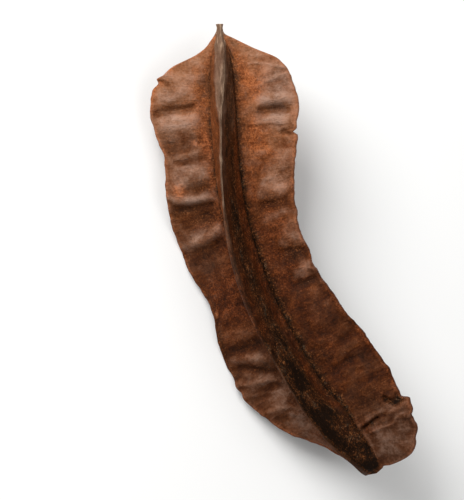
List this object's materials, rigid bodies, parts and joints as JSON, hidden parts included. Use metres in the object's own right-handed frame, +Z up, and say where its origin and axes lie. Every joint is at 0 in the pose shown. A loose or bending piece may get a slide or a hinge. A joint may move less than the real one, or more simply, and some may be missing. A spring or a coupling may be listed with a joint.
{
  "type": "aridan pod",
  "caption": "Dried winged seed pod: a long, gently bent fruit with broad leathery wings to the sides and woody keels above and below.",
  "frame": {"origin": "middle of the pod's box, on the surface that it lies on", "axes": "+X from the stalk to the tip, +Z up with the pod lying at rest, upper keel on top"},
  "size_m": [0.1802, 0.056, 0.0394],
  "materials": {
    "pod_skin": "dry wrinkled skin, dull sheen"
  },
  "bodies": {
    "root": {"pod": "pod_skin"}
  },
  "joints": []
}
